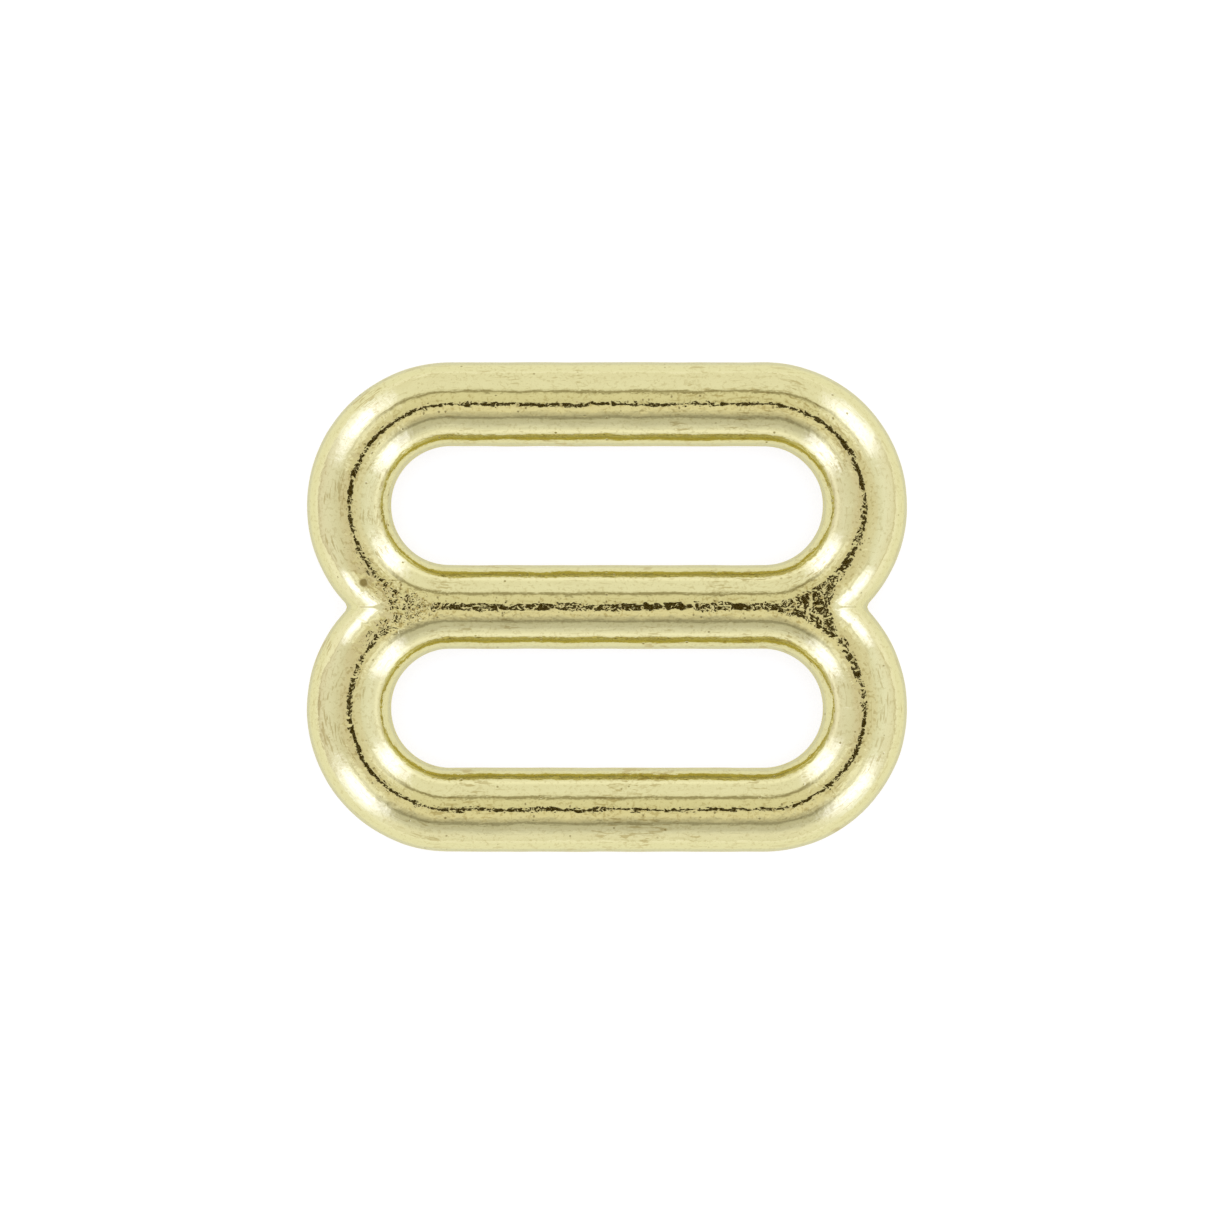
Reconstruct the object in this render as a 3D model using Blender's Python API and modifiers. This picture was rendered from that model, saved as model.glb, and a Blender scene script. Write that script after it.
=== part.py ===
"""Figure-eight webbing slider for 25 mm webbing: one zinc-alloy die casting.

Two oblong slots, one above the other, are framed by rounded bars that share the middle bar.
The slider lies on its flat back: +X runs along the slots, +Y from slot to slot, and +Z out of
the domed front. The origin is on the back face, at the centre of the middle bar.
Everything is in metres.
"""

import math

import bpy

MM = 0.001

# Driving dimensions
SLOT_LENGTH = 25.0 * MM  # end to end, the width of the webbing it takes
SLOT_HEIGHT = 6.88 * MM
BAR_WIDTH = 4.85 * MM
THICKNESS = 3.1 * MM
DOME_HEIGHT = 1.75 * MM  # the domed part of the thickness; the side wall is below it
DOME_POINTEDNESS = 1.54  # 1 is a half ellipse and 2 a parabola
BACK_EDGE_RADIUS = 0.4 * MM  # round between the side wall and the flat back

# Dimensions that follow from them
HALF_BAR = BAR_WIDTH / 2
SLOT_PITCH = SLOT_HEIGHT + BAR_WIDTH  # from one slot's centre to the other's
RING_RADIUS = SLOT_PITCH / 2  # radius of a ring's centre-line at its round ends
STRAIGHT_LENGTH = SLOT_LENGTH - SLOT_HEIGHT  # straight stretch of a slot's long sides
DOME_BASE = THICKNESS - DOME_HEIGHT  # height of the widest line above the back

# How finely the round stretches are divided
END_STEPS = 30  # along each half-circle end of a ring
DOME_STEPS = 20  # across the dome, from side to side
BACK_EDGE_STEPS = 3
MERGE_DISTANCE = 0.001 * MM

PLATE_COLOUR = (0.78, 0.71, 0.40, 1.0)  # pale gold
PLATE_ROUGHNESS = 0.15


def clear_scene():
    """Removes every object, so that the script can run again in the same file."""
    for old in list(bpy.data.objects):
        bpy.data.objects.remove(old, do_unlink=True)


def sweep_angles(start, sweep, steps):
    """Evenly spaced angles in radians, first and last included."""
    return [start + sweep * i / steps for i in range(steps + 1)]


def arc(centre, radius, start, sweep, steps):
    """Points on an arc of a circle, first and last included."""
    angles = sweep_angles(start, sweep, steps)
    return [(centre[0] + radius * math.cos(a), centre[1] + radius * math.sin(a)) for a in angles]


def dome_profile():
    """The domed front, from one side wall to the other: cos and sin, the sine to a power."""
    angles = sweep_angles(math.pi, -math.pi, DOME_STEPS)
    rises = [max(math.sin(a), 0) ** DOME_POINTEDNESS for a in angles]
    return [
        (HALF_BAR * math.cos(a), DOME_BASE + DOME_HEIGHT * rise) for a, rise in zip(angles, rises)
    ]


def bar_section():
    """The bar's cross-section as (sideways, up) points: dome, side walls, round edges, flat back."""
    edge = BACK_EDGE_RADIUS
    inset = HALF_BAR - edge
    right_edge = arc((inset, edge), edge, 0, -math.pi / 2, BACK_EDGE_STEPS)
    middle_of_back = [(0, 0)]
    left_edge = arc((-inset, edge), edge, -math.pi / 2, -math.pi / 2, BACK_EDGE_STEPS)
    return dome_profile() + right_edge + middle_of_back + left_edge


def ring_centre_line():
    """The oblong loop that the bar follows round one slot, as (x, y) points about the slot's centre."""
    half = STRAIGHT_LENGTH / 2
    right_end = arc((half, 0), RING_RADIUS, -math.pi / 2, math.pi, END_STEPS)
    left_end = arc((-half, 0), RING_RADIUS, math.pi / 2, math.pi, END_STEPS)
    return right_end + left_end


def closed_curve(name, points):
    """A flat closed curve object with straight stretches between the points."""
    curve = bpy.data.curves.new(name, "CURVE")
    curve.dimensions = "2D"
    curve.fill_mode = "NONE"
    spline = curve.splines.new("POLY")
    spline.points.add(len(points) - 1)
    for point, (x, y) in zip(spline.points, points):
        point.co = (x, y, 0, 1)
    spline.use_cyclic_u = True
    guide = bpy.data.objects.new(name, curve)
    guide.hide_render = True
    bpy.context.scene.collection.objects.link(guide)
    return guide


def plate_material():
    """Pale gold electroplate."""
    material = bpy.data.materials.new("pale_gold_plate")
    material.use_nodes = True
    shader = material.node_tree.nodes["Principled BSDF"]
    shader.inputs["Base Color"].default_value = PLATE_COLOUR
    shader.inputs["Metallic"].default_value = 1.0
    shader.inputs["Roughness"].default_value = PLATE_ROUGHNESS
    material.diffuse_color = PLATE_COLOUR
    return material


def swept_ring():
    """The mesh of the bar swept round one slot, which stands at +Y of the middle bar."""
    section = closed_curve("bar_section", bar_section())
    ring = closed_curve("ring_centre_line", ring_centre_line())
    ring.location.y = SLOT_PITCH / 2
    ring.data.bevel_mode = "OBJECT"
    ring.data.bevel_object = section
    bpy.context.view_layer.update()
    graph = bpy.context.evaluated_depsgraph_get()
    mesh = bpy.data.meshes.new_from_object(ring.evaluated_get(graph))
    mesh.transform(ring.matrix_world)
    for guide in (ring, section):
        bpy.data.objects.remove(guide, do_unlink=True)
    return mesh


def slider_frame(parts):
    """The casting: the ring round the +Y slot, cut at the middle bar's centre-line and mirrored there.

    The cut leaves half of the middle bar, and the mirrored half completes it, so the result is one body.
    """
    mesh = swept_ring()
    mesh.name = "slider_frame"
    frame = bpy.data.objects.new("slider_frame", mesh)
    parts.objects.link(frame)
    frame.data.materials.clear()
    frame.data.materials.append(plate_material())

    mirror = frame.modifiers.new("second_ring", "MIRROR")
    mirror.use_axis = (False, True, False)
    mirror.use_bisect_axis = (False, True, False)
    mirror.bisect_threshold = MERGE_DISTANCE
    mirror.use_mirror_merge = True
    mirror.merge_threshold = MERGE_DISTANCE

    mesh.shade_smooth()
    mesh.set_sharp_from_angle(angle=math.radians(35))
    return frame


def main():
    clear_scene()
    parts = bpy.data.collections.new("buckle_slider")
    bpy.context.scene.collection.children.link(parts)
    slider_frame(parts)


main()
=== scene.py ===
import logging
import math
from dataclasses import dataclass, field
from enum import Enum
from typing import Any

import bpy
import numpy as np
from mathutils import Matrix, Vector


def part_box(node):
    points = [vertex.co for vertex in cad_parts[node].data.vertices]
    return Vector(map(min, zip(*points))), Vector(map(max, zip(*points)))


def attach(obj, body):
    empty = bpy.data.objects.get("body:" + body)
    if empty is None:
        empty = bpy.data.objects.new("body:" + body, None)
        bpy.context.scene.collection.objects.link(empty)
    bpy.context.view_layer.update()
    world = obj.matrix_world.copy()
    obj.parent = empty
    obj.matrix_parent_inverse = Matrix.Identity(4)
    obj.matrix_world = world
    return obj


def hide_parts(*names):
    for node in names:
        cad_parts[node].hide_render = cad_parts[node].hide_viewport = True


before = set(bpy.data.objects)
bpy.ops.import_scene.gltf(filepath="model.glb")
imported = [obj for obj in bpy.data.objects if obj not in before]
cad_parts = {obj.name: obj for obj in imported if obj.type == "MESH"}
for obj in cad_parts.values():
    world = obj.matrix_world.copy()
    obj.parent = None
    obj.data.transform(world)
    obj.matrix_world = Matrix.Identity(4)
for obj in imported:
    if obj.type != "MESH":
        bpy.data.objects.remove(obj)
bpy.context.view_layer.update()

# A cast strap slider with a pale gold plate, lying on its flat back under soft studio light.
# It is in metres. +X runs along the slots, +Y from slot to slot, +Z out of the domed front.

MM = 0.001
CAD_NODE = "slider_frame"
LOG = logging.getLogger("strap_slider")

# The casting has one dent, on its upper left shoulder. The mesh is pushed in there and the plate worn.
DENT_PLACE = (-14.02 * MM, 1.40 * MM, 3.02 * MM)
DENT_RADIUS = 0.32 * MM

Colour = tuple[float, float, float]
Span = tuple[float, float]


# == Shader maths ==


class Signal:
    """A number or a vector that flows out of a shader node, with arithmetic."""

    def __init__(self, bench: "NodeBench", socket: bpy.types.NodeSocket) -> None:
        """Wraps a socket.

        Args:
            bench: The node tree's bench, which adds the nodes.
            socket: An output socket.
        """
        self.bench = bench
        self.socket = socket

    def math(self, operation: str, *others: Any) -> "Signal":
        """Passes this value and the others through one Math node.

        Args:
            operation: The Math node's operation, such as "MULTIPLY".
            others: Its further inputs, as signals or numbers.

        Returns:
            The node's result.
        """
        return self.bench.node("ShaderNodeMath", {"operation": operation}, [self, *others])

    def __add__(self, other: Any) -> "Signal":
        """This value plus the other."""
        return self.math("ADD", other)

    __radd__ = __add__

    def __sub__(self, other: Any) -> "Signal":
        """This value minus the other."""
        return self.math("SUBTRACT", other)

    def __rsub__(self, other: Any) -> "Signal":
        """The other value minus this one."""
        return self.bench.node("ShaderNodeMath", {"operation": "SUBTRACT"}, [other, self])

    def __mul__(self, other: Any) -> "Signal":
        """This value times the other."""
        return self.math("MULTIPLY", other)

    __rmul__ = __mul__

    def __truediv__(self, other: Any) -> "Signal":
        """This value over the other."""
        return self.math("DIVIDE", other)

    def __rtruediv__(self, other: Any) -> "Signal":
        """The other value over this one."""
        return self.bench.node("ShaderNodeMath", {"operation": "DIVIDE"}, [other, self])

    def __abs__(self) -> "Signal":
        """This value without its sign."""
        return self.math("ABSOLUTE")

    def step(self, low: float, high: float) -> "Signal":
        """A smooth step from 0 at low to 1 at high; high may be below low.

        Args:
            low: The value where the result is 0.
            high: The value where the result is 1.

        Returns:
            The stepped value.
        """
        rising = low < high
        settings = {"interpolation_type": "SMOOTHSTEP"}
        ends = [low, high, 0.0, 1.0] if rising else [high, low, 1.0, 0.0]
        return self.bench.node("ShaderNodeMapRange", settings, [self, *ends])

    def bell(self, centre: float, width: float) -> "Signal":
        """A bell curve of height 1: e to the minus square of the distance from centre over width.

        Args:
            centre: The value where the result is 1.
            width: How far from centre the result has fallen to 1/e.

        Returns:
            The bell's height.
        """
        off = (self - centre) / width
        return (off * off * -1.0).math("EXPONENT")


class NodeBench:
    """Adds nodes to one shader tree and links them."""

    def __init__(self, tree: bpy.types.NodeTree) -> None:
        """Starts on an empty tree.

        Args:
            tree: The node tree of a material or of the world.
        """
        self.tree = tree
        self.tree.nodes.clear()

    def node(
        self, kind: str, settings: dict[str, Any], inputs: Any = (), output: int | str = 0
    ) -> Signal:
        """Adds one node.

        Args:
            kind: The node's type, such as "ShaderNodeTexNoise".
            settings: The node's own properties, which are set before its inputs.
            inputs: Values or signals, by position in a list or by socket name in a dict.
            output: Which output socket the returned signal wraps.

        Returns:
            The chosen output.
        """
        made = self.tree.nodes.new(kind)
        for name, value in settings.items():
            if name == "stops":
                self._fill_ramp(made.color_ramp, value)
            else:
                setattr(made, name, value)
        for key, value in inputs.items() if isinstance(inputs, dict) else enumerate(inputs):
            self._feed(made.inputs[key], value)
        return Signal(self, made.outputs[output])

    def mix(self, factor: Any, first: Any, second: Any) -> Signal:
        """Blends two colours.

        Args:
            factor: 0 gives the first colour and 1 the second.
            first: A colour or a signal.
            second: A colour or a signal.

        Returns:
            The blended colour.
        """
        made = self.tree.nodes.new("ShaderNodeMix")
        made.data_type = "RGBA"
        colours = [s for s in made.inputs if s.type == "RGBA"]
        self._feed(made.inputs[0], factor)
        self._feed(colours[0], first)
        self._feed(colours[1], second)
        return Signal(self, next(s for s in made.outputs if s.type == "RGBA"))

    def parts(self, vector: Signal) -> tuple[Signal, Signal, Signal]:
        """A vector's x, y and z."""
        x = self.node("ShaderNodeSeparateXYZ", {}, [vector], "X")
        return x, Signal(self, x.socket.node.outputs["Y"]), Signal(self, x.socket.node.outputs["Z"])

    def output(self, kind: str, surface: Signal) -> None:
        """Ends the tree.

        Args:
            kind: The output node's type.
            surface: The shader that goes into its Surface socket.
        """
        made = self.tree.nodes.new(kind)
        self._feed(made.inputs["Surface"], surface)

    def shade(self, sockets: dict[str, Any]) -> None:
        """Ends a material's tree with one Principled shader, fed by its socket names."""
        self.output("ShaderNodeOutputMaterial", self.node("ShaderNodeBsdfPrincipled", {}, sockets))

    def _feed(self, socket: bpy.types.NodeSocket, value: Any) -> None:
        """Links a signal to a socket, or sets the socket's value.

        Args:
            socket: An input socket.
            value: A signal, a number, a vector or a colour.
        """
        if isinstance(value, Signal):
            self.tree.links.new(value.socket, socket)
        elif socket.type == "RGBA" and len(value) == 3:
            socket.default_value = (*value, 1.0)
        else:
            socket.default_value = value

    @staticmethod
    def _fill_ramp(ramp: bpy.types.ColorRamp, stops: list[tuple[float, Colour]]) -> None:
        """Fills a colour ramp.

        Args:
            ramp: The ramp.
            stops: Its positions, from 0 to 1, and their colours.
        """
        while len(ramp.elements) > 1:
            ramp.elements.remove(ramp.elements[-1])
        for index, (position, colour) in enumerate(stops):
            stop = ramp.elements[0] if index == 0 else ramp.elements.new(position)
            stop.position = position
            stop.color = (*colour, 1.0)


# == Finishes ==


def new_material(name: str) -> tuple[bpy.types.Material, NodeBench]:
    """Starts a material.

    Args:
        name: The material's name.

    Returns:
        The material, and a bench on its empty tree.
    """
    made = bpy.data.materials.new(name)
    made.use_nodes = True
    return made, NodeBench(made.node_tree)


@dataclass
class Skin:
    """What the plate reads from the casting, and the patterns that several of its layers use."""

    place: Signal
    crown: Signal
    grain: Signal
    trace: Signal
    tone: Signal
    mottle: Signal
    streaks: Signal
    pits: Signal
    dent: Signal
    wall: Signal


@dataclass(frozen=True)
class GoldPlate:
    """Bright pale-gold electroplate over a die casting, whose skin shows through it.

    A span is the pair of values between which a mask grows from 0 to 1.
    """

    colour: Colour = (0.768, 0.722, 0.392)
    deep_colour: Colour = (0.70, 0.64, 0.33)
    # A painted highlight: a pale line along each bar's flank beside the slot.
    painted_highlight_colour: Colour = (0.92, 0.87, 0.49)
    # Painted shade: a darker band low on each side of the dome.
    skirt_shade_colour: Colour = (0.700, 0.660, 0.330)
    # Painted shade: a still darker band at the foot of the dome.
    rim_shade_colour: Colour = (0.585, 0.560, 0.300)
    speck_colour: Colour = (0.48, 0.40, 0.16)
    # Painted shade: the side walls are a darker ochre, mottled between these two colours.
    wall_shade_colour: Colour = (0.62, 0.545, 0.165)
    wall_shade_mottle_colour: Colour = (0.57, 0.495, 0.140)
    pit_colour: Colour = (0.26, 0.20, 0.06)

    roughness: float = 0.06
    tone_roughness: float = 0.04
    pit_roughness: float = 0.15
    dent_roughness: float = 0.20
    wall_roughness: float = 0.26

    wave_length: float = 0.70 * MM
    wave_height: float = 0.029 * MM
    peel_length: float = 0.32 * MM
    peel_height: float = 0.0125 * MM
    fleck_length: float = 0.13 * MM
    fleck_height: float = 0.0065 * MM
    patch_length: float = 1.8 * MM
    patch_span: Span = (0.42, 0.62)
    streak_length: float = 2.4 * MM
    streak_width: float = 0.22 * MM
    streak_height: float = 0.0050 * MM

    tone_length: float = 3.0 * MM
    tone_span: Span = (0.35, 0.75)
    tone_depth: float = 0.08
    streak_span: Span = (0.45, 0.75)
    streak_depth: float = 0.12
    mottle_length: float = 0.9 * MM
    mottle_span: Span = (0.40, 0.70)
    mottle_depth: float = 0.30
    cluster_length: float = 3.5 * MM
    cluster_span: Span = (0.50, 0.66)
    speck_length: float = 0.20 * MM
    speck_span: Span = (0.52, 0.72)
    speck_in_cluster: float = 0.05
    speck_least: float = 0.25
    speck_cover: float = 0.52
    scuff_length: float = 0.80 * MM
    scuff_width: float = 0.13 * MM
    scuff_span: Span = (0.62, 0.70)
    scuff_in_cluster: float = 0.07
    scuff_least: float = 0.28
    scuff_gain: float = 0.47
    # The painted highlight line: its distance from the centre-line towards the slot, its width and how
    # strongly it covers.
    painted_highlight_offset: float = 1.61 * MM
    painted_highlight_width: float = 0.10 * MM
    painted_highlight_cover: float = 0.8
    # The painted shade band low on the dome, by crown height.
    skirt_shade_span: Span = (0.60, 0.42)
    # The painted shade band at the dome's foot, by crown height.
    rim_shade_span: Span = (0.28, 0.13)
    wall_span: Span = (0.08, 0.02)
    # How the side walls' painted shade is mottled.
    wall_mottle_span: Span = (0.35, 0.65)

    pit_spacing: float = 0.42 * MM
    pit_radius: float = 0.10 * MM
    pit_depth: float = 0.008 * MM
    pit_share: Span = (1.10, 1.12)
    pit_in_grain: float = 0.42
    pit_core: float = 0.3
    pit_cover: float = 0.75
    dent_core: float = 0.5
    dent_cover: float = 0.92
    distortion: float = 0.35

    def material(self) -> bpy.types.Material:
        """Builds the plate's material.

        It reads three attributes of the mesh: crown, grain and trace.

        Returns:
            The material.
        """
        made, bench = new_material("pale_gold_plate")
        skin = self._skin(bench)
        bump = {"Strength": 1.0, "Distance": 1.0, "Height": self._relief(bench, skin)}
        roughness = self.roughness + self.tone_roughness * skin.tone + self.pit_roughness * skin.pits
        roughness = roughness + self.dent_roughness * skin.dent + self.wall_roughness * skin.wall
        sockets = {
            "Base Color": self._tint(bench, skin),
            "Metallic": 1.0,
            "Roughness": roughness,
            "Normal": bench.node("ShaderNodeBump", {}, bump),
        }
        bench.shade(sockets)
        return made

    def _skin(self, bench: NodeBench) -> Skin:
        """Reads the casting and lays out the shared patterns.

        Args:
            bench: The material's bench.

        Returns:
            The skin's signals.
        """
        place = bench.node("ShaderNodeTexCoord", {}, output="Object")
        crown = bench.node("ShaderNodeAttribute", {"attribute_name": "crown"}, output="Fac")
        grain = bench.node("ShaderNodeAttribute", {"attribute_name": "grain"}, output="Fac")
        trace = bench.node("ShaderNodeAttribute", {"attribute_name": "trace"}, output="Vector")
        return Skin(
            place=place,
            crown=crown,
            grain=grain,
            trace=trace,
            tone=self._noise(bench, place, self.tone_length, 1.0),
            mottle=self._noise(bench, place, self.mottle_length, 4.0),
            streaks=self._drawn(bench, trace, self.streak_width, self.streak_length),
            pits=self._pits(bench, place, grain),
            dent=self._dent(bench, place),
            wall=crown.step(*self.wall_span),
        )

    def _relief(self, bench: NodeBench, skin: Skin) -> Signal:
        """The plate's fine relief: waves, peel and flecks by the grain, then streaks less pits.

        Args:
            bench: The material's bench.
            skin: The skin's signals.

        Returns:
            Its height in metres.
        """
        waves = self._noise(bench, skin.place, self.wave_length, 1.0) - 0.5
        peel = self._noise(bench, skin.place, self.peel_length, 1.0) - 0.5
        flecks = self._noise(bench, skin.place, self.fleck_length, 0.0) - 0.5
        patches = self._noise(bench, skin.place, self.patch_length, 1.0).step(*self.patch_span)
        height = (waves * self.wave_height + peel * self.peel_height) * skin.grain
        height = height + flecks * patches * skin.grain * self.fleck_height
        return height + skin.streaks * self.streak_height - skin.pits * self.pit_depth

    def _tint(self, bench: NodeBench, skin: Skin) -> Signal:
        """The plate's colour, from the broad tones to the fine marks, with a painted highlight line and
        painted shade bands near the bars' edges and on their side walls.

        Args:
            bench: The material's bench.
            skin: The skin's signals.

        Returns:
            The colour.
        """
        cluster = self._noise(bench, skin.place, self.cluster_length, 2.0).step(*self.cluster_span)
        specks = self._noise(bench, skin.place, self.speck_length, 2.0) + cluster * self.speck_in_cluster
        specks = specks.step(*self.speck_span) * (skin.grain + self.speck_least) * self.speck_cover
        scuffs = self._drawn(bench, skin.trace, self.scuff_width, self.scuff_length)
        scuffs = (scuffs + cluster * self.scuff_in_cluster).step(*self.scuff_span)
        scuffs = scuffs * (self.scuff_least + cluster * self.scuff_gain)
        across, _, _ = bench.parts(skin.trace)
        # Painted highlight: a pale line along the flank beside each slot.
        painted_highlight = (across + self.painted_highlight_offset).bell(0.0, self.painted_highlight_width)
        deep = skin.tone.step(*self.tone_span) * self.tone_depth
        deep = deep + skin.streaks.step(*self.streak_span) * self.streak_depth
        deep = deep + skin.mottle.step(*self.mottle_span) * self.mottle_depth
        # The side walls' painted shade: a darker ochre, mottled.
        walls = bench.mix(skin.mottle.step(*self.wall_mottle_span), self.wall_shade_colour, self.wall_shade_mottle_colour)

        colour = bench.mix(deep, self.colour, self.deep_colour)
        # Of these layers the first is a painted highlight, the skirt, rim and wall layers are painted
        # shade, and the specks, scuffs, pits and dent are marks on the plate.
        layers = [
            (painted_highlight * self.painted_highlight_cover, self.painted_highlight_colour),
            (skin.crown.step(*self.skirt_shade_span), self.skirt_shade_colour),
            (skin.crown.step(*self.rim_shade_span), self.rim_shade_colour),
            (specks, self.speck_colour),
            (scuffs, self.speck_colour),
            (skin.wall, walls),
            (skin.pits * self.pit_cover, self.pit_colour),
            (skin.dent * self.dent_cover, self.pit_colour),
        ]
        for cover, paint in layers:
            colour = bench.mix(cover, colour, paint)
        return colour

    def _noise(self, bench: NodeBench, place: Signal, length: float, detail: float) -> Signal:
        """Noise whose bumps are about as long as length, from 0 to 1.

        Args:
            bench: The material's bench.
            place: Object coordinates.
            length: The size of one bump.
            detail: How many finer layers are added.

        Returns:
            The noise value.
        """
        inputs = {"Vector": place, "Scale": 1.0 / length, "Detail": detail, "Distortion": self.distortion}
        return bench.node("ShaderNodeTexNoise", {}, inputs)

    def _drawn(self, bench: NodeBench, trace: Signal, width: float, length: float) -> Signal:
        """Noise drawn out along the bars.

        Args:
            bench: The material's bench.
            trace: The trace attribute.
            width: The size of one bump across the bar.
            length: The size of one bump along it.

        Returns:
            The noise value.
        """
        factors = (1.0 / width, 1.0 / length, 1.0 / length)
        drawn = bench.node("ShaderNodeVectorMath", {"operation": "MULTIPLY"}, [trace, factors])
        return self._noise(bench, drawn, 1.0, 2.0)

    def _pits(self, bench: NodeBench, place: Signal, grain: Signal) -> Signal:
        """Scattered round pits, more of them where the grain is strong.

        Every cell of a Voronoi pattern draws a lot, and the cells with a high lot get a pit.

        Args:
            bench: The material's bench.
            place: Object coordinates.
            grain: The grain's strength, 1 on the crests.

        Returns:
            The depth of the pits: 1 in the middle of a pit and 0 outside.
        """
        inputs = {"Vector": place, "Scale": 1.0 / self.pit_spacing, "Randomness": 1.0}
        reach = bench.node("ShaderNodeTexVoronoi", {"feature": "F1"}, inputs)
        cells = Signal(bench, reach.socket.node.outputs["Color"])
        lot = bench.node("ShaderNodeSeparateColor", {}, [cells])
        radius = self.pit_radius / self.pit_spacing
        chosen = (lot + grain * self.pit_in_grain).step(*self.pit_share)
        return reach.step(radius, radius * self.pit_core) * chosen

    def _dent(self, bench: NodeBench, place: Signal) -> Signal:
        """The worn plate in the dent.

        Args:
            bench: The material's bench.
            place: Object coordinates.

        Returns:
            The wear: 1 in the dent's middle and 0 outside.
        """
        distance = {"operation": "DISTANCE"}
        away = bench.node("ShaderNodeVectorMath", distance, [place, DENT_PLACE], "Value")
        return away.step(DENT_RADIUS, DENT_RADIUS * self.dent_core)


@dataclass(frozen=True)
class PaleFloor:
    """The studio's floor: a pale board, bright enough to read as white."""

    colour: Colour = (0.378, 0.378, 0.378)
    glow: float = 0.755
    glow_colour: Colour = (0.975, 0.975, 1.0)
    roughness: float = 0.9

    def material(self) -> bpy.types.Material:
        """Builds the floor's material.

        Returns:
            The material.
        """
        made, bench = new_material("pale_floor")
        sockets = {
            "Base Color": self.colour,
            "Roughness": self.roughness,
            "Specular IOR Level": 0.0,
            "Emission Color": self.glow_colour,
            "Emission Strength": self.glow,
        }
        bench.shade(sockets)
        return made


@dataclass(frozen=True)
class DarkBody:
    """The camera's black body, which shows only as a mirror image on the crests."""

    colour: Colour = (0.045, 0.030, 0.003)
    roughness: float = 0.8

    def material(self) -> bpy.types.Material:
        """Builds the black finish.

        Returns:
            The material.
        """
        made, bench = new_material("camera_black")
        sockets = {"Base Color": self.colour, "Roughness": self.roughness, "Specular IOR Level": 0.0}
        bench.shade(sockets)
        return made


# == The casting ==


def add_mesh(name: str, points: Any, faces: Any) -> bpy.types.Object:
    """Adds a mesh object at the origin.

    Args:
        name: The name of the object and of its mesh.
        points: Its corners' places, as a list.
        faces: Each face's corner numbers, as a list.

    Returns:
        The object.
    """
    mesh = bpy.data.meshes.new(name)
    mesh.from_pydata(points, [], faces)
    mesh.update()
    made = bpy.data.objects.new(name, mesh)
    bpy.context.scene.collection.objects.link(made)
    return made


def smooth_step(value: np.ndarray, low: float, high: float) -> np.ndarray:
    """A smooth step from 0 to 1: 3t² - 2t³, where t runs from 0 at low to 1 at high."""
    t = np.clip((value - low) / (high - low), 0.0, 1.0)
    return t * t * (3.0 - 2.0 * t)


def plateau(value: np.ndarray, rise: Span, fall: Span) -> np.ndarray:
    """A smooth step from 0 to 1 over the rise, less another over the fall."""
    return smooth_step(value, *rise) - smooth_step(value, *fall)


def positive_part(value: np.ndarray, softness: float) -> np.ndarray:
    """The positive part, rounded: half of the value plus the root of its square plus softness squared."""
    return 0.5 * (value + np.sqrt(value * value + softness * softness))


@dataclass
class BarSection:
    """The bar's cross-section: a dome, straight side walls and a flat back."""

    half_width: float
    dome_base: float
    dome_height: float
    back_edge: float
    dome_power: float = 0.77

    def front(self, off: np.ndarray) -> np.ndarray:
        """Height of the front where a point is off by so much from the bar's centre-line.

        It is the dome's base plus its height times (1 - (off / half width)²) to a power. A power of a
        half would give an ellipse and 1 a parabola.

        Args:
            off: Distance from the centre-line, up to the half width.

        Returns:
            Height above the back.
        """
        share = np.clip(off / self.half_width, 0.0, 1.0)
        return self.dome_base + self.dome_height * (1.0 - share * share) ** self.dome_power

    def back(self, off: np.ndarray) -> np.ndarray:
        """Height of the back: 0, and a quarter circle up to the side wall near the bar's edge.

        Args:
            off: Distance from the centre-line, up to the half width.

        Returns:
            Height above the lowest face.
        """
        into_edge = np.clip(off - (self.half_width - self.back_edge), 0.0, self.back_edge)
        return self.back_edge - np.sqrt(self.back_edge**2 - into_edge**2)


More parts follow.
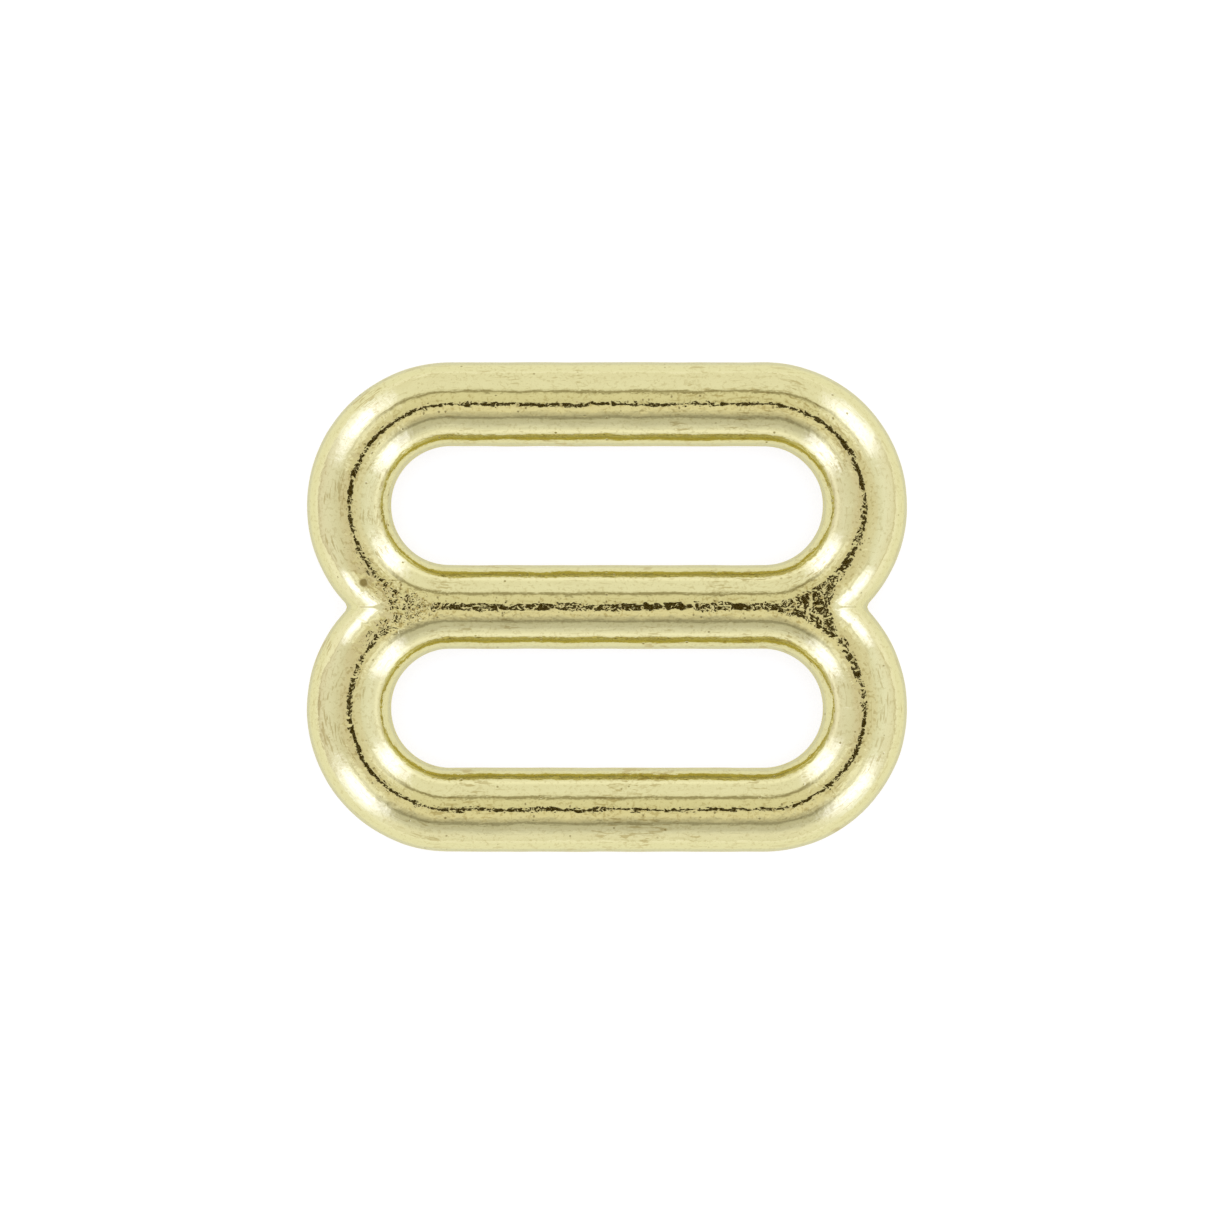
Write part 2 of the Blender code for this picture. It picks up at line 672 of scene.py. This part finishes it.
@dataclass
class SliderCasting:
    """The whole slider: two rings that share the middle bar, in one casting.

    The upper ring is a surface of two parameters: along follows the ring's centre-line, and round goes
    across the front from the slot to the outside, down the outer wall, back across the back and up the
    slot's wall. It ends on the middle bar's centre plane, y = 0, and its mirror image completes it.
    """

    lowest: np.ndarray
    highest: np.ndarray
    bar_width: float = 4.85 * MM
    dome_height: float = 1.75 * MM
    back_edge: float = 0.4 * MM
    crest_round: float = 0.05 * MM

    # The valleys between the rings: a fine crease on the front, a rounder notch at the outline.
    crease_blend: float = 0.10 * MM
    notch_blend: float = 0.36 * MM
    notch_span: Span = (0.72, 0.98)

    # The webs, where three bars meet.
    web_span: Span = (3.3 * MM, 4.55 * MM)
    web_fill_right: float = 1.5 * MM
    web_fill_left: float = 0.15 * MM
    web_blend_left: float = 1.3 * MM

    # The flatter crests of the middle bar and of the arms by the right web.
    middle_flat: float = 0.11 * MM
    middle_span: Span = (0.0 * MM, 3.0 * MM)
    arm_flat_right: float = 0.16 * MM
    arm_rise: Span = (0.5 * MM, 2.5 * MM)
    arm_fall: Span = (4.8 * MM, 5.8 * MM)

    # The fuller shoulders beside the notches, along the bar, across it and away from the middle.
    shoulder_right: float = 0.22 * MM
    shoulder_left: float = 0.36 * MM
    shoulder_rise: Span = (1.5 * MM, 3.0 * MM)
    shoulder_fall: Span = (6.0 * MM, 7.5 * MM)
    shoulder_inner: Span = (0.2 * MM, 0.9 * MM)
    shoulder_outer: Span = (1.4 * MM, 2.3 * MM)
    shoulder_end: Span = (2.0 * MM, 4.0 * MM)

    # How strongly the skin shows.
    flank_grain: float = 0.42
    crest_span: Span = (0.94, 0.985)
    middle_grain: float = 0.20
    middle_grain_span: Span = (-1.0 * MM, 1.0 * MM)
    web_grain_right: float = 0.45
    web_grain_left: float = 1.6
    web_grain_rise: Span = (0.3 * MM, 1.5 * MM)
    web_half_height: float = 1.6 * MM

    # The skin's unevenness and the dent.
    ripple_seed: int = 8
    ripple_waves: int = 40
    ripple_length: float = 2.2 * MM
    ripple_spread: Span = (0.7, 1.8)
    ripple_height: float = 0.0055 * MM
    ripple_inset: float = 1.2
    dent_depth: float = 0.055 * MM
    dent_fall: float = 1.5

    # The mesh.
    arc_rows: int = 120
    straight_rows: int = 110
    front_steps: int = 48
    wall_steps: int = 6
    edge_steps: int = 5
    flat_steps: int = 6
    halvings: int = 50
    search_span: Span = (0.5, 1.2)

    half_bar: float = field(init=False)
    ring_radius: float = field(init=False)
    half_straight: float = field(init=False)
    section: BarSection = field(init=False)

    def __post_init__(self) -> None:
        """Works out the sizes that follow from the CAD box and the bar's width."""
        length, width, thickness = (self.highest - self.lowest).tolist()
        slot_height = (width - 3.0 * self.bar_width) / 2.0
        self.half_bar = self.bar_width / 2.0
        self.ring_radius = (slot_height + self.bar_width) / 2.0
        self.half_straight = length / 2.0 - self.bar_width - slot_height / 2.0
        self.section = BarSection(
            self.half_bar, thickness - self.dome_height, self.dome_height, self.back_edge
        )

    # -- the surface --

    def centre_line(self) -> tuple[np.ndarray, np.ndarray, np.ndarray]:
        """Rows along the upper ring's centre-line, anticlockwise from the middle bar's right end.

        Each round end is an arc of angle a: (±half straight + R cos a, R + R sin a).

        Returns:
            Points of shape (rows, 2), outward unit vectors of shape (rows, 2), and the numbers of the
            two rows that end exactly at the notches.
        """
        notch = -math.asin(self.ring_radius / (self.ring_radius + self.half_bar + self.notch_blend / 4.0))
        low_rows = self.arc_rows // 4
        low = np.linspace(-math.pi / 2, notch, low_rows, endpoint=False)
        high = np.linspace(notch, math.pi / 2, self.arc_rows - low_rows, endpoint=False)
        right = np.concatenate([low, high])
        left = (math.pi - right)[::-1]
        left = np.concatenate([[math.pi / 2], left[:-1]])
        run = np.linspace(self.half_straight, -self.half_straight, self.straight_rows, endpoint=False)
        angles = np.concatenate(
            [right, np.full(len(run), math.pi / 2), left, np.full(len(run), -math.pi / 2)]
        )
        middles = np.concatenate(
            [np.full(len(right), self.half_straight), run, np.full(len(left), -self.half_straight), -run]
        )
        outward = np.stack([np.cos(angles), np.sin(angles)], axis=1)
        points = outward * self.ring_radius + np.stack(
            [middles, np.full(len(middles), self.ring_radius)], axis=1
        )
        first_left = len(right) + len(run)
        left_notch = first_left + int(np.argmin(np.abs(left - (math.pi - notch))))
        return points, outward, np.array([low_rows, left_notch])

    def off_centre(self, points: np.ndarray, across: np.ndarray) -> np.ndarray:
        """Distance from the nearest centre-line, blended where the two rings' flanks meet.

        It is the smaller of the two rings' distances, less a rounding: with h the share by which the
        two are closer than the blend width k, it is the smaller one minus h² k / 4.

        Args:
            points: Positions of shape (..., 2), with y not below 0.
            across: Signed distance from the upper ring's centre-line, outwards.

        Returns:
            The blended distance.
        """
        upper = np.abs(across)
        beyond = np.maximum(np.abs(points[..., 0]) - self.half_straight, 0.0)
        lower = np.abs(np.hypot(beyond, points[..., 1] + self.ring_radius) - self.ring_radius)
        near_edge = smooth_step(upper, *(share * self.half_bar for share in self.notch_span))
        left_web = (1.0 - smooth_step(beyond, *self.web_span)) * (points[..., 0] < 0.0)
        blend = self.crease_blend + (self.notch_blend - self.crease_blend) * near_edge
        blend = blend + self.web_blend_left * left_web
        share = np.clip(1.0 - np.abs(lower - upper) / blend, 0.0, 1.0)
        rounding = np.where(across > 0.0, share * share * blend / 4.0, 0.0)
        return upper - rounding

    def reach(self, points: np.ndarray, outward: np.ndarray) -> tuple[np.ndarray, np.ndarray]:
        """How far each row reaches outwards: to the outer wall or to the plane y = 0.

        The outer wall stands where the blended distance equals the half width, found by halving.

        Args:
            points: The rows' centre-line points.
            outward: The rows' outward unit vectors.

        Returns:
            The reach of each row, and which rows end on the plane y = 0.
        """
        falling = outward[:, 1] < -1e-9
        to_plane = np.where(falling, points[:, 1] / np.where(falling, -outward[:, 1], 1.0), np.inf)
        limit = np.minimum(to_plane, self.search_span[1] * self.half_bar)
        at_limit = self.off_centre(points + outward * limit[:, None], limit)
        cut = falling & (at_limit <= self.half_bar * (1.0 + 1e-9))
        low = np.full(len(points), self.search_span[0] * self.half_bar)
        high = limit.copy()
        for _ in range(self.halvings):
            middle = (low + high) / 2.0
            inside = self.off_centre(points + outward * middle[:, None], middle) < self.half_bar
            low = np.where(inside, middle, low)
            high = np.where(inside, high, middle)
        return np.where(cut, to_plane, high), cut

    def domed(self, points: np.ndarray, across: np.ndarray, off: np.ndarray) -> np.ndarray:
        """Height of the front, with the flatter middle bar and the webs where three bars meet.

        A flat allowance is taken off the distance before the dome's formula reads it, so the crest
        widens by that allowance. In the webs it is wide enough to fill the valley between the rings.
        The arms by the right web get a smaller one. Beyond the webs a bulge taken off the distance makes
        the shoulders fuller.

        Args:
            points: Positions of shape (..., 2).
            across: Signed distance from the upper ring's centre-line.
            off: The blended distance from off_centre.

        Returns:
            Height above the back.
        """
        x, y = points[..., 0], points[..., 1]
        right = x > 0.0
        outside = across > 0.0
        past_bar = np.abs(x) - self.half_straight
        lower_side = y < self.ring_radius

        web = np.where(right, self.web_fill_right, self.web_fill_left)
        web = web * (1.0 - smooth_step(past_bar, *self.web_span)) * lower_side
        near_middle = (1.0 - smooth_step(past_bar, *self.middle_span)) * lower_side
        flat = np.where(outside, web, self.middle_flat * near_middle)
        stretch = np.where(outside, 1.0, self.half_bar / (self.half_bar - flat))

        bulge = np.where(right, self.shoulder_right, self.shoulder_left)
        bulge = bulge * plateau(past_bar, self.shoulder_rise, self.shoulder_fall)
        bulge = bulge * plateau(off, self.shoulder_inner, self.shoulder_outer)
        bulge = np.where(outside, bulge * (1.0 - smooth_step(y, *self.shoulder_end)), 0.0)

        arm = plateau(past_bar, self.arm_rise, self.arm_fall)
        arm = np.where(right, self.arm_flat_right, 0.0) * arm * lower_side
        off = positive_part(off - arm, self.crest_round) * self.half_bar / (self.half_bar - arm)
        return self.section.front(positive_part(off - flat, self.crest_round) * stretch - bulge)

    def front_offsets(self, reach: np.ndarray) -> np.ndarray:
        """Where the front's columns lie across the bar, from the slot to each row's reach.

        A column's offset is minus the half width times the cosine of an angle that grows evenly from 0.
        So the columns are close together where the dome is steep.

        Args:
            reach: The reach of each row.

        Returns:
            Offsets of shape (rows, columns).
        """
        turn = np.arccos(-np.clip(reach / self.half_bar, -1.0, 1.0)) / math.pi
        step = np.linspace(0.0, 1.0, self.front_steps + 1)
        front = -self.half_bar * np.cos(math.pi * turn[:, None] * step[None, :])
        widen = reach / np.minimum(reach + 1e-12, self.half_bar)
        front = np.where(front > 0.0, front * np.maximum(widen, 1.0)[:, None], front)
        front[:, -1] = reach
        return front

    def back_offsets(self, reach: np.ndarray) -> np.ndarray:
        """Where the back's columns lie across the bar, from each row's reach back to the slot.

        Over the rounded edges, a column is the edge's radius times 1 less a cosine in from the wall.

        Args:
            reach: The reach of each row.

        Returns:
            Offsets of shape (rows, columns).
        """
        bend = np.linspace(0.0, math.pi / 2, self.edge_steps + 1)
        outer = reach[:, None] - self.back_edge * (1.0 - np.cos(bend))[None, :]
        inner = -self.half_bar + self.back_edge * (1.0 - np.cos(bend[::-1]))
        flat = np.linspace(0.0, 1.0, self.flat_steps + 1)[1:-1]
        between = outer[:, -1:] + (inner[0] - outer[:, -1:]) * flat[None, :]
        return np.concatenate([outer, between, np.repeat(inner[None, :], len(reach), axis=0)], axis=1)

    def grid(self) -> tuple[np.ndarray, np.ndarray, np.ndarray, slice]:
        """The upper ring as a grid of points, rows along it and columns round its section.

        Returns:
            Points of shape (rows, columns, 3); the five marks of each point; which rows end on the plane
            y = 0; the outer wall's columns.
        """
        points, outward, notch_rows = self.centre_line()
        reach, cut = self.reach(points, outward)
        cut[notch_rows] = True
        front = self.front_offsets(reach)
        back = self.back_offsets(reach)
        front_xy = points[:, None, :] + outward[:, None, :] * front[..., None]
        back_xy = points[:, None, :] + outward[:, None, :] * back[..., None]
        front_z = self.domed(front_xy, front, self.off_centre(front_xy, front))
        back_z = self.section.back(self.off_centre(back_xy, back))

        down = np.linspace(0.0, 1.0, self.wall_steps + 1)[1:-1]
        outer_xy = np.repeat(front_xy[:, -1:, :], len(down), axis=1)
        outer_z = front_z[:, -1:] + (back_z[:, :1] - front_z[:, -1:]) * down[None, :]
        slot_xy = np.repeat(front_xy[:, :1, :], len(down), axis=1)
        slot_z = back_z[:, -1:] + (front_z[:, :1] - back_z[:, -1:]) * down[None, :]

        xy = np.concatenate([front_xy, outer_xy, back_xy, slot_xy], axis=1)
        z = np.concatenate([front_z, outer_z, back_z, slot_z], axis=1)
        grid = np.concatenate([xy, z[..., None]], axis=2)
        grid[np.abs(grid[..., 1]) < 1e-9, 1] = 0.0
        wall = slice(self.front_steps, self.front_steps + self.wall_steps)
        return grid, self.marks(grid, front, points), cut, wall

    def marks(self, grid: np.ndarray, front: np.ndarray, points: np.ndarray) -> np.ndarray:
        """What the finish reads at each point of the grid.

        The crown is 1 on the crest and 0 at the walls. The grain is the skin's strength. The trace is the
        distance across the bar and a place on a circle as long as the ring, which closes on itself.

        Args:
            grid: Points of shape (rows, columns, 3).
            front: Offsets of the front's columns.
            points: The rows' centre-line points.

        Returns:
            Crown, grain and the trace's three values, of shape (rows, columns, 5).
        """
        rows, columns = grid.shape[:2]
        front_z = grid[:, : front.shape[1], 2]
        crown = np.zeros((rows, columns))
        crown[:, : front.shape[1]] = 1.0 - (front_z.max() - front_z) / self.dome_height
        grain = self.grain(grid, crown)
        across = np.pad(front, ((0, 0), (0, columns - front.shape[1])), mode="edge")
        steps = np.linalg.norm(np.diff(points, axis=0, append=points[:1]), axis=1)
        turn = 2.0 * math.pi * np.cumsum(steps) / steps.sum()
        circle = steps.sum() / (2.0 * math.pi) * np.stack([np.cos(turn), np.sin(turn)], axis=1)
        circles = np.repeat(circle[:, None, :], columns, axis=1)
        return np.concatenate([crown[..., None], grain[..., None], across[..., None], circles], axis=2)

    def grain(self, grid: np.ndarray, crown: np.ndarray) -> np.ndarray:
        """How strongly the casting's skin shows through the plate.

        It is 1 along the crests and calm on the flanks. The middle bar and the webs have more.

        Args:
            grid: Points of shape (rows, columns, 3).
            crown: The crown value of each point.

        Returns:
            The grain's strength at each point.
        """
        past_bar = np.abs(grid[..., 0]) - self.half_straight
        in_web = plateau(past_bar, self.web_grain_rise, self.web_span)
        extra = np.where(grid[..., 0] > 0.0, self.web_grain_right, self.web_grain_left) * in_web
        extra = extra + self.middle_grain * (1.0 - smooth_step(past_bar, *self.middle_grain_span))
        extra = extra * (np.abs(grid[..., 1]) < self.web_half_height)
        return self.flank_grain + (1.0 - self.flank_grain + extra) * smooth_step(crown, *self.crest_span)

    def ripple(self, points: np.ndarray) -> np.ndarray:
        """The casting's slight unevenness: a sum of sine waves in seeded random directions.

        Args:
            points: Positions of shape (n, 3).

        Returns:
            Height of the unevenness at each point.
        """
        count = self.ripple_waves
        dice = np.random.default_rng(self.ripple_seed)
        waves = dice.normal(size=(3, count))
        lengths = self.ripple_length * dice.uniform(*self.ripple_spread, count)
        waves *= 2.0 * math.pi / (lengths * np.linalg.norm(waves, axis=0))
        phases = dice.uniform(0.0, 2.0 * math.pi, count)
        return self.ripple_height * np.sin(points @ waves + phases).sum(axis=1) / math.sqrt(count / 2.0)

    def dent(self, points: np.ndarray) -> np.ndarray:
        """The one dent: its depth times e to the minus square of the fall times distance over radius.

        Args:
            points: Positions of shape (n, 3).

        Returns:
            How deep each point is pushed in.
        """
        away = np.linalg.norm(points - np.array(DENT_PLACE), axis=1) / DENT_RADIUS
        return self.dent_depth * np.exp(-((self.dent_fall * away) ** 2))

    # -- the piece --

    def faces(self, upper: np.ndarray, cut: np.ndarray, wall: slice) -> np.ndarray:
        """The faces of both rings: the upper grid's quads and their mirror images.

        A point on the plane y = 0 is its own mirror image, so the rings are joined there. The outer
        wall's quads between two rows that end on that plane lie inside the casting and are left out.
        Corners run anticlockwise seen from outside, so the mirror images take theirs the other way round.

        Args:
            upper: The upper grid, of shape (rows, columns, 3).
            cut: Which rows end on the plane.
            wall: The outer wall's columns.

        Returns:
            Corner numbers of shape (faces, 4). The mirror images count on from the upper points.
        """
        rows, columns = upper.shape[:2]
        row, column = np.meshgrid(np.arange(rows), np.arange(columns), indexing="ij")
        next_row = (row + 1) % rows
        next_column = (column + 1) % columns
        corners = [(row, column), (row, next_column), (next_row, next_column), (next_row, column)]
        quads = np.stack([r * columns + c for r, c in corners], axis=-1)
        inside = cut[row] & cut[next_row] & (column >= wall.start) & (column < wall.stop)
        quads = quads[~inside]
        numbers = np.arange(rows * columns)
        on_plane = upper[..., 1].ravel() == 0.0
        mirrored = np.where(on_plane, numbers, numbers + rows * columns)
        return np.concatenate([quads, mirrored[quads][:, [1, 0, 3, 2]]])

    def worn(self, vertices: np.ndarray, normals: np.ndarray) -> np.ndarray:
        """Moves the front and the walls along their normals by the ripple, less the inset and the dent.

        The inset is a little more than one ripple height. It keeps the crests inside the CAD box.

        Args:
            vertices: Points of shape (n, 3).
            normals: Their outward unit vectors.

        Returns:
            The moved points.
        """
        inset = self.ripple(vertices) - self.ripple_inset * self.ripple_height - self.dent(vertices)
        above = vertices[:, 2] > self.back_edge / 2.0
        return vertices + normals * (inset * above)[:, None]

    def build(self) -> bpy.types.Object:
        """Builds the casting's mesh.

        Returns:
            The finished object, which stands for the CAD node.
        """
        grid, marks, cut, wall = self.grid()
        faces = self.faces(grid, cut, wall)
        used, compact = np.unique(faces, return_inverse=True)
        faces = compact.reshape(faces.shape)
        upper = grid.reshape(-1, 3)
        vertices = np.concatenate([upper, upper * np.array([1.0, -1.0, 1.0])])[used]
        marks = np.tile(marks.reshape(len(upper), -1), (2, 1))[used]

        casting = add_mesh("slider_casting", vertices.tolist(), faces.tolist())
        mesh = casting.data
        normals = np.zeros(vertices.size)
        mesh.vertices.foreach_get("normal", normals)
        mesh.vertices.foreach_set("co", self.worn(vertices, normals.reshape(-1, 3)).ravel())
        mesh.attributes.new("crown", "FLOAT", "POINT").data.foreach_set("value", marks[:, 0])
        mesh.attributes.new("grain", "FLOAT", "POINT").data.foreach_set("value", marks[:, 1])
        trace = mesh.attributes.new("trace", "FLOAT_VECTOR", "POINT")
        trace.data.foreach_set("vector", marks[:, 2:].ravel())
        mesh.shade_smooth()
        mesh.update()
        return casting

    def dress(self, casting: bpy.types.Object, finish: GoldPlate) -> None:
        """Gives the casting its plate and ties it to the CAD frame.

        Args:
            casting: The casting's object.
            finish: The plate.
        """
        casting.data.materials.append(finish.material())
        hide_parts(CAD_NODE)
        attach(casting, "root")


# == The studio ==


class TentSide(Enum):
    """The light tent's sides and corners, each a run of colours from straight up down to the floor.

    A stop is the angle from straight up in degrees, and the light from there.
    """

    FAR = (
        (10.0, (0.85, 0.82, 0.685)),
        (26.0, (0.90, 0.87, 0.745)),
        (31.5, (0.85, 0.82, 0.695)),
        (35.0, (0.42, 0.38, 0.27)),
        (39.0, (0.42, 0.38, 0.27)),
        (43.5, (0.96, 0.95, 0.91)),
        (50.0, (1.00, 1.00, 1.00)),
        (90.0, (0.98, 0.97, 0.95)),
    )
    NEAR = (
        (10.0, (0.92, 0.87, 0.735)),
        (19.0, (0.95, 0.90, 0.785)),
        (25.5, (0.78, 0.74, 0.65)),
        (34.5, (0.59, 0.56, 0.50)),
        (38.5, (0.39, 0.37, 0.32)),
        (42.0, (0.39, 0.37, 0.32)),
        (46.5, (0.66, 0.65, 0.62)),
        (58.0, (0.71, 0.70, 0.71)),
        (66.0, (0.88, 0.88, 0.91)),
        (75.0, (1.00, 0.99, 1.01)),
        (90.0, (0.96, 0.95, 0.93)),
    )
    RIGHT = (
        (10.0, (0.82, 0.77, 0.67)),
        (20.0, (0.87, 0.84, 0.77)),
        (30.0, (0.90, 0.87, 0.83)),
        (40.0, (0.94, 0.95, 0.98)),
        (58.0, (1.02, 1.04, 1.14)),
        (75.0, (1.00, 1.00, 1.06)),
        (83.0, (0.98, 0.97, 1.00)),
        (88.0, (0.84, 0.81, 0.77)),
    )
    LEFT = (
        (10.0, (0.79, 0.73, 0.66)),
        (24.0, (0.84, 0.80, 0.77)),
        (36.0, (0.87, 0.86, 0.86)),
        (58.0, (0.94, 0.94, 1.00)),
        (75.0, (0.96, 0.95, 1.02)),
        (83.0, (0.93, 0.90, 0.95)),
        (88.0, (0.81, 0.77, 0.78)),
    )
    CORNER = (
        (19.0, (0.86, 0.82, 0.72)),
        (25.0, (1.14, 1.14, 1.18)),
        (32.0, (1.16, 1.16, 1.22)),
        (36.5, (0.92, 0.92, 0.98)),
        (40.0, (1.15, 1.15, 1.30)),
        (46.0, (1.65, 1.70, 2.30)),
        (52.0, (1.85, 1.92, 2.95)),
        (66.0, (1.85, 1.92, 2.95)),
        (75.0, (1.60, 1.65, 2.35)),
        (86.0, (1.25, 1.30, 1.60)),
    )

    def light(self, bench: NodeBench, polar: Signal) -> Signal:
        """The light from this side.

        Args:
            bench: The world's bench.
            polar: Degrees from straight up.

        Returns:
            The light's colour.
        """
        quarter = 90.0
        headroom = 4.0
        stops = [(angle / quarter, tuple(c / headroom for c in light)) for angle, light in self.value]
        dimmed = bench.node("ShaderNodeValToRGB", {"stops": stops}, [polar / quarter])
        scale = {"operation": "SCALE"}
        return bench.node("ShaderNodeVectorMath", scale, {"Vector": dimmed, "Scale": headroom})


@dataclass
class Studio:
    """A light tent with bright gaps at its four corners, a pale floor, and a camera straight above."""

    floor_size: float = 6.0
    camera_height: float = 0.40
    frame_width: float = 70.2 * MM
    sensor: float = 36.0
    far_clip: float = 100.0
    camera_body: tuple[float, float] = (0.050, 0.037)
    body_rise: float = 5.0 * MM
    body_corners: int = 64
    end_blend: Span = (-0.6, 0.6)
    face_blend: Span = (0.60, 0.82)
    corner_turn: float = 42.0
    corner_span: Span = (24.0, 2.0)
    fold_drop: float = 5.0
    fold_turn: float = 8.0
    fold_least: float = 0.25
    fold_gain: float = 1.35

    def build(self, target_height: float) -> None:
        """Builds the floor, the tent's light and the camera.

        Args:
            target_height: Height of the slider's widest line, which the frame width is measured at.
        """
        self.lay_floor()
        self.hang_tent()
        self.place_camera(target_height)

    def lay_floor(self) -> None:
        """Lays the pale floor that the slider rests on."""
        half = self.floor_size / 2.0
        corners = [(-half, -half, 0.0), (half, -half, 0.0), (half, half, 0.0), (-half, half, 0.0)]
        floor = add_mesh("studio_floor", corners, [(0, 1, 2, 3)])
        floor.data.materials.append(PaleFloor().material())

    def hang_tent(self) -> None:
        """Makes the world's light: each side's own run of colours, blended round the compass."""
        world = bpy.data.worlds.new("light_tent")
        world.use_nodes = True
        bench = NodeBench(world.node_tree)
        east, north, up = bench.parts(bench.node("ShaderNodeTexCoord", {}, output="Generated"))
        polar = up.math("ARCCOSINE") * (180.0 / math.pi)
        azimuth = north.math("ARCTAN2", east) * (180.0 / math.pi)
        level = (east * east + north * north).math("SQRT") + 1e-6

        left = TentSide.LEFT.light(bench, polar)
        right = TentSide.RIGHT.light(bench, polar)
        start, end = self.face_blend
        sides = bench.mix((east / level).step(*self.end_blend), left, right)
        sides = bench.mix((north / level).step(start, end), sides, TentSide.FAR.light(bench, polar))
        sides = bench.mix((north / level).step(-start, -end), sides, TentSide.NEAR.light(bench, polar))
        off_corner = abs(azimuth.math("PINGPONG", 90.0) - self.corner_turn)
        folds = bench.node("ShaderNodeCombineXYZ", {}, [polar / self.fold_drop, azimuth / self.fold_turn])
        crease = bench.node("ShaderNodeTexNoise", {}, {"Vector": folds, "Scale": 1.0, "Detail": 2.0})
        gap = off_corner.step(*self.corner_span) * (self.fold_least + self.fold_gain * crease)
        tent = bench.mix(gap, sides, TentSide.CORNER.light(bench, polar))

        background = bench.node("ShaderNodeBackground", {}, {"Color": tent, "Strength": 1.0})
        bench.output("ShaderNodeOutputWorld", background)
        bpy.context.scene.world = world
        bpy.context.scene.view_settings.view_transform = "Standard"

    def place_camera(self, target_height: float) -> None:
        """Hangs the camera straight above the slider, with its dark oval body behind the lens.

        Args:
            target_height: Height of the slider's widest line.
        """
        data = bpy.data.cameras.new("camera")
        data.sensor_width = self.sensor
        data.lens = self.sensor * self.camera_height / self.frame_width
        data.clip_end = self.far_clip
        camera = bpy.data.objects.new("camera", data)
        camera.location = (0.0, 0.0, self.camera_height + target_height)
        bpy.context.scene.collection.objects.link(camera)
        bpy.context.scene.camera = camera

        angles = np.linspace(0.0, 2.0 * math.pi, self.body_corners, endpoint=False)
        rim = np.array(self.camera_body) * np.stack([np.cos(angles), -np.sin(angles)], axis=1)
        height = np.full((self.body_corners, 1), camera.location.z + self.body_rise)
        points = np.concatenate([rim, height], axis=1)
        body = add_mesh("camera_body", points.tolist(), [tuple(range(self.body_corners))])
        body.data.materials.append(DarkBody().material())


def main() -> None:
    """Builds the studio and the slider."""
    logging.basicConfig(level=logging.INFO, format="%(name)s: %(message)s")
    lowest, highest = (np.array(corner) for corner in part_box(CAD_NODE))
    casting = SliderCasting(lowest, highest)
    Studio().build(casting.section.dome_base)
    piece = casting.build()
    casting.dress(piece, GoldPlate())
    LOG.info("%s: %d vertices, %d faces", piece.name, len(piece.data.vertices), len(piece.data.polygons))


if __name__ == "__main__":
    main()
